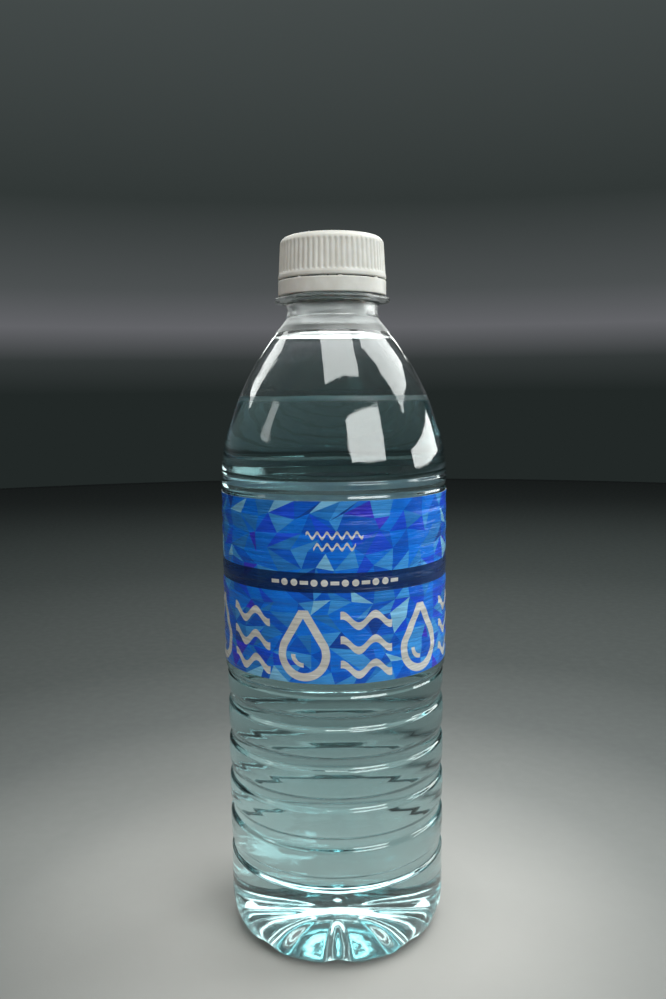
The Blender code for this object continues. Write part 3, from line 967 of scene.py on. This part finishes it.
def near(angle, count, offset, half_width):
    """1 within half_width of evenly spaced angles, falling quickly to 0 outside."""
    period = FULL_TURN / count
    away = np.abs((angle - offset + period / 2) % period - period / 2)
    return 1.0 - smooth(NEAR_EDGES[0] * half_width, NEAR_EDGES[1] * half_width, away)


def band_shape(radius, height, angle):
    """Slots between the flaps, and the stubs of the broken bridges on the top edge."""
    slotted = near(angle, FLAP_COUNT, 0.0, FLAP_SLOT_HALF_ANGLE)
    hinge = BAND_INNER - 0.25
    is_flap = radius < hinge
    folded_down = np.minimum(height, BAND_FOOT + 0.6)
    radius = np.where(is_flap, radius + (hinge - radius) * slotted, radius)
    height = np.where(is_flap, height + (folded_down - height) * slotted, height)
    bridged = near(angle, BRIDGE_COUNT, BRIDGE_ANGLE, BRIDGE_HALF_ANGLE)
    on_top = smooth(BAND_TOP - 0.12, BAND_TOP - 0.02, height)
    outside = smooth(BAND_RADIUS - 1.0, BAND_RADIUS - 0.9, radius)
    return radius, height + (CAP_RIM - BRIDGE_BREAK - BAND_TOP) * bridged * on_top * outside


def make_band(finish):
    """The ring that stays on the neck when its bridges are broken."""
    band = turned("tamper_ring", band_points(), BAND_COLUMNS, band_shape, ring=True)
    band.data.materials.append(finish)
    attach(band, "band")
    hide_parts("tamper_band")


# ---------------------------------------------------------------- label


def label_place(along, height, depth=0.0):
    """A point of the wrapped film, from its distance along the film, its height and its depth in the film."""
    wrap = FULL_TURN * LABEL_RADIUS
    lapped = smooth(wrap - LABEL_LAP_RAMP[0], wrap - LABEL_LAP_RAMP[1], along)
    hoop = 0.5 + 0.5 * np.cos(FULL_TURN * (height - PANEL_HOOP_TOP) / PANEL_HOOP_PITCH)
    angle = LABEL_SEAM + along / LABEL_RADIUS
    radius = LABEL_RADIUS - depth - LABEL_SAG * hoop + LABEL_LAP_RISE * lapped + ripple(height, angle)
    return np.array([radius * math.cos(angle), radius * math.sin(angle), height])


def facet_corners():
    """A jittered grid of corners over the unrolled film, the triangles between them, and the source of chance."""
    chance = random.Random(RANDOM_SEED)
    length = FULL_TURN * LABEL_RADIUS + LABEL_LAP
    columns = round(length / FACET_SIZE)
    rows = round((LABEL_TOP - LABEL_FOOT) / (FACET_SIZE * FACET_ROW_SHARE))
    corners = []
    for row in range(rows + 1):
        for column in range(columns + 1):
            is_inner_column = 0 < column < columns
            is_inner_row = 0 < row < rows
            stagger = FACET_STAGGER if row % 2 and is_inner_column else 0.0
            jitter_along = chance.uniform(-FACET_JITTER_ALONG, FACET_JITTER_ALONG) if is_inner_column else 0.0
            jitter_up = chance.uniform(-FACET_JITTER_UP, FACET_JITTER_UP) if is_inner_row else 0.0
            along = min(length, (column + stagger + jitter_along) * length / columns)
            corners.append((along, LABEL_FOOT + (LABEL_TOP - LABEL_FOOT) * (row + jitter_up) / rows))
    triangles = []
    for row in range(rows):
        for column in range(columns):
            a = row * (columns + 1) + column
            b, c, d = a + 1, a + columns + 2, a + columns + 1
            if chance.random() < 0.5:
                triangles += [(a, b, c), (a, c, d)]
            else:
                triangles += [(a, b, d), (b, c, d)]
    return corners, triangles, chance


def split_facets(corners, triangles):
    """Each facet split into small triangles that share corners: the points, the faces, and each face's facet."""
    points = {}
    faces = []
    owners = []

    def point(place):
        """The number of the point at that place, which is a new one if no facet has put one there."""
        key = (round(place[0], 4), round(place[1], 4))
        return points.setdefault(key, len(points))

    for owner, triangle in enumerate(triangles):
        a, b, c = (np.array(corners[corner]) for corner in triangle)
        across = (b - a) / FACET_SPLITS
        up = (c - a) / FACET_SPLITS
        for row in range(FACET_SPLITS):
            for column in range(FACET_SPLITS - row):
                low = a + across * column + up * row
                faces.append((point(low), point(low + across), point(low + up)))
                owners.append(owner)
                if column < FACET_SPLITS - row - 1:
                    faces.append((point(low + across), point(low + across + up), point(low + up)))
                    owners.append(owner)
    return list(points), faces, owners


def film_edges(faces):
    """The directed edges that only one face has."""
    edges = dict.fromkeys(edge for face in faces for edge in zip(face, face[1:] + face[:1]))
    return [edge for edge in edges if (edge[1], edge[0]) not in edges]


def drop_mark(across, height):
    """A drop's outline, a circle below with straight sides up to a point, and a short shine inside it."""
    side = abs(across)
    up = height - DROP_MIDDLE
    lean = DROP_BELLY / DROP_RISE
    flank = math.sqrt(1 - lean * lean)
    beside = side * flank + up * lean - DROP_BELLY
    around = side.length(up) - DROP_BELLY
    uses_side = (side * -lean + up * flank).math("GREATER_THAN", 0.0)
    outline = abs(uses_side.choose(around, beside)) - DROP_HALF_STROKE
    shine = abs(side.length(up) - SHINE_RADIUS) - SHINE_HALF_STROKE
    shine = shine.highest(across).highest(up)
    return outline.highest(up - DROP_RISE).inside().highest(shine.inside())


def wave_marks(across, height):
    """Three waves, one over another."""
    crest = (across * (FULL_TURN / WAVE_LENGTH)).sine() * WAVE_HEIGHT
    swell = height - crest - WAVE_FOOT
    stripe = abs(swell.modulo(WAVE_PITCH) - WAVE_PITCH / 2) - WAVE_HALF_STROKE
    stripe = stripe.highest(swell * -1.0).highest(swell - WAVE_COUNT * WAVE_PITCH)
    return stripe.highest(abs(across) - WAVE_HALF_WIDTH).inside()


def small_wave_mark(along, height, middle, half_width):
    """One short, fine wave above the dark band."""
    crest = (along * (FULL_TURN / SMALL_WAVE_LENGTH)).sine() * SMALL_WAVE_HEIGHT
    stripe = abs(height - middle - crest) - SMALL_WAVE_HALF_STROKE
    return stripe.highest(abs(along) - half_width).inside()


def row_mark(along, height):
    """A row of dots and dashes, one dash to every two dots."""
    step = (along / ROW_BEAT + 0.5).floor()
    local = along - step * ROW_BEAT
    up = height - ROW_HEIGHT
    is_dash = step.modulo(3.0).below(0.5)
    dot = local.length(up) - DOT_RADIUS
    dash = (abs(local) - DASH_HALF_LENGTH).highest(abs(up) - DASH_HALF_HEIGHT)
    return is_dash.choose(dot, dash).highest(abs(along) - ROW_HALF_BEATS * ROW_BEAT).inside()


def white_marks(angle, height):
    """1 where the film is printed white: drops and waves by turns, small waves, and the row in the band."""
    # Front and back carry the same print, so angles are folded onto the front half
    front = (angle + math.pi / 2).modulo(math.pi) - math.pi / 2
    along = front * LABEL_RADIUS
    sector = FULL_TURN / MARK_COUNT
    sectors = angle / sector
    which = sectors.floor()
    across = (sectors - which - 0.5) * (sector * LABEL_RADIUS)
    white = which.modulo(2.0).choose(wave_marks(across, height), drop_mark(across, height))
    for middle, half_width in SMALL_WAVES:
        white = white.highest(small_wave_mark(along, height, middle, half_width))
    return white.highest(row_mark(along, height))


def label_finish():
    """Printed film: a mosaic of blue facets, a dark band and white water marks, on a glossy creased skin."""
    finish = Finish(
        "label_look",
        IOR=1.5,
        Coat_Weight=0.5,
        Coat_Roughness=0.09,
        Subsurface_Weight=0.3,
        Subsurface_Scale=0.0004,
        Subsurface_Radius=(1.0, 1.0, 1.0),
    )
    x, y, height = finish.axes()
    white = white_marks(x.math("ARCTAN2", y * -1.0), height)
    tint = finish.node("ShaderNodeVertexColor", layer_name="tint")
    fade = finish.ranged(finish.noise(7.0, detail=2.0), 1.02, 1.32)
    shade = finish.node("ShaderNodeVectorMath", operation="SCALE")
    finish.link(tint.outputs["Color"], shade.inputs["Vector"])
    finish.link(fade.socket, shade.inputs["Scale"])
    navy = finish.mottle(finish.noise(9.0), srgb(6, 30, 76), srgb(12, 48, 104))
    inked = finish.blend(height.between(*NIGHT_BAND) * NIGHT_BAND_INK, shade.outputs["Vector"], navy)
    streaks = finish.noise(6.0, stretch=(1.0, 1.0, 0.2))
    cream = finish.mottle(streaks, srgb(214, 211, 206), srgb(238, 236, 232))
    finish.set("Base Color", finish.blend(white, inked, cream))
    creases = finish.noise(1.5, detail=4.0, roughness=0.55, stretch=(9.0, 9.0, 1.0))
    folds = finish.noise(1.3, detail=1.0, stretch=(40.0, 40.0, 1.0))
    pores = finish.noise(0.25, detail=2.0)
    finish.set("Roughness", finish.ranged(creases, 0.2, 0.36))
    finish.bump((folds, 0.2), (creases, 0.42), (pores, 0.004))
    return finish.material


def label_back_finish():
    """The film's inner side: a white ground, with the print just showing through."""
    finish = Finish(
        "label_back_look",
        IOR=1.5,
        Subsurface_Weight=0.7,
        Subsurface_Scale=0.0006,
        Subsurface_Radius=(1.0, 1.0, 1.0),
    )
    tint = finish.node("ShaderNodeVertexColor", layer_name="tint")
    milky = finish.noise(5.0, detail=3.0)
    pale = finish.mottle(milky, srgb(186, 198, 206), srgb(214, 221, 226))
    finish.set("Base Color", finish.blend(finish.ranged(milky, 0.78, 0.9), tint.outputs["Color"], pale))
    finish.set("Roughness", finish.ranged(finish.noise(2.0), 0.35, 0.5))
    finish.bump((finish.noise(1.2, detail=3.0, stretch=(5.0, 5.0, 1.0)), 0.03))
    return finish.material


def make_label():
    """The wrap film: a mosaic of printed facets, split finely, with an inner side, closed edges and a lap."""
    corners, triangles, chance = facet_corners()
    places, faces, owners = split_facets(corners, triangles)
    tints = [srgb(*tint) for tint, share in FACET_TINTS for _ in range(share)]
    facet_tints = [chance.choice(tints) for _ in triangles]
    outer = [label_place(along, height) for along, height in places]
    inner = [label_place(along, height, LABEL_FILM) for along, height in places]
    count = len(places)
    inner_faces = [tuple(count + corner for corner in reversed(face)) for face in faces]
    rims = [(b, a, count + a, count + b) for a, b in film_edges(faces)]
    label = add_mesh("label_film", outer + inner, faces + inner_faces + rims)
    label.data.materials.append(label_finish())
    label.data.materials.append(label_back_finish())
    label.data.set_sharp_from_angle(angle=LABEL_CREASE)
    colours = [facet_tints[owner] for owner in owners] * 2 + [srgb(*RIM_TINT)] * len(rims)
    attribute = label.data.color_attributes.new("tint", "FLOAT_COLOR", "CORNER")
    values = []
    for polygon, colour in zip(label.data.polygons, colours):
        values += [*colour, 1.0] * polygon.loop_total
    attribute.data.foreach_set("color", values)
    for polygon in label.data.polygons[len(faces) : 2 * len(faces)]:
        polygon.material_index = 1
    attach(label, "bottle")
    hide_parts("label")


# ---------------------------------------------------------------- studio


def add_floor():
    """A matt, round floor with a painted pool of light: pale near the bottle, darkening with distance as painted
    shade.
    """
    outline = spaced([np.array([0.0, 0.0]), np.array([FLOOR_RADIUS, 0.0])], FLOOR_ROW_SPACING)
    below = [point - np.array([0.0, FLOOR_THICKNESS]) for point in reversed(outline)]
    floor = turned("studio_floor", outline + below, FLOOR_COLUMNS)
    finish = Finish("floor_look", IOR=1.45, Specular_IOR_Level=0.2)
    x, y, _ = finish.axes()
    # Painted pool of light: the floor's colour is pale near the bottle and darker with distance
    reach = (x.length(y) + finish.noise(60.0) * 10.0) * (1.0 / FLOOR_RADIUS)
    finish.set("Base Color", finish.ramp(reach, lit(FLOOR_LIGHT_POOL_TINTS)))
    finish.set("Roughness", finish.ranged(finish.noise(5.0), 0.6, 0.75))
    finish.bump((finish.noise(0.8), 0.02))
    floor.data.materials.append(finish.material)


def toward(azimuth, elevation, reach):
    """The way out from the axis at that azimuth (0 is the front, 90 the right) and elevation, reach metres long."""
    azimuth, elevation = math.radians(azimuth), math.radians(elevation)
    flat = reach * math.cos(elevation)
    return Vector((flat * math.sin(azimuth), -flat * math.cos(azimuth), reach * math.sin(elevation)))


def add_window(name, azimuth, elevation, size, brightness, tint=WINDOW_TINT):
    """A rectangular soft light that faces the bottle's shoulder, equally bright to look at whatever its size."""
    light = bpy.data.lights.new(name, "AREA")
    light.shape = "RECTANGLE"
    light.size, light.size_y = size
    light.energy = brightness * math.pi * light.size * light.size_y
    light.color = tint
    made = bpy.data.objects.new(name, light)
    out = toward(azimuth, elevation, WINDOW_REACH)
    made.location = Vector((0.0, 0.0, SHOULDER_MIDDLE)) + out
    made.rotation_euler = (-out).to_track_quat("-Z", "Y").to_euler()
    made.visible_camera = False
    bpy.context.scene.collection.objects.link(made)
    return made


def add_lights():
    """Soft windows round the bottle, most of them to its right, as in a parked car, and a warm fill without glare."""
    for window in WINDOWS:
        add_window(*window)
    fill = add_window(*FILL, FILL_TINT)
    fill.visible_glossy = False
    fill.visible_transmission = False


def add_air():
    """Dim surroundings with a soft pale strip above the horizon, which brighten upwards."""
    world = bpy.data.worlds.new("studio_air")
    world.use_nodes = True
    tree = world.node_tree
    split = tree.nodes.new("ShaderNodeSeparateXYZ")
    tree.links.new(tree.nodes.new("ShaderNodeTexCoord").outputs["Generated"], split.inputs["Vector"])
    ramp = tree.nodes.new("ShaderNodeValToRGB")
    tree.links.new(split.outputs["Z"], ramp.inputs["Fac"])
    fill_ramp(ramp, lit(AIR_TINTS))
    tree.links.new(ramp.outputs["Color"], tree.nodes["Background"].inputs["Color"])
    bpy.context.scene.world = world


def add_camera():
    """The camera that was fitted to the photograph."""
    data = bpy.data.cameras.new("camera")
    data.sensor_width = 36.0
    data.lens = CAMERA_LENS
    camera = bpy.data.objects.new("camera", data)
    tilt = Matrix.Rotation(math.pi / 2 - CAMERA_PITCH, 4, "X")
    camera.matrix_world = Matrix.Translation(CAMERA_PLACE) @ tilt @ Matrix.Rotation(CAMERA_ROLL, 4, "Z")
    bpy.context.scene.collection.objects.link(camera)
    bpy.context.scene.camera = camera


def set_light_paths():
    """Light crosses both walls and the water, so it needs more bounces than usual."""
    scene = bpy.context.scene
    scene.cycles.max_bounces = 24
    scene.cycles.transmission_bounces = 20
    scene.cycles.glossy_bounces = 8
    scene.view_settings.view_transform = "Standard"


add_camera()
set_light_paths()
make_bottle()
make_water()
make_label()
white_plastic = moulded_white_finish()
make_cap(white_plastic)
make_wad()
make_band(white_plastic)
add_floor()
add_lights()
add_air()
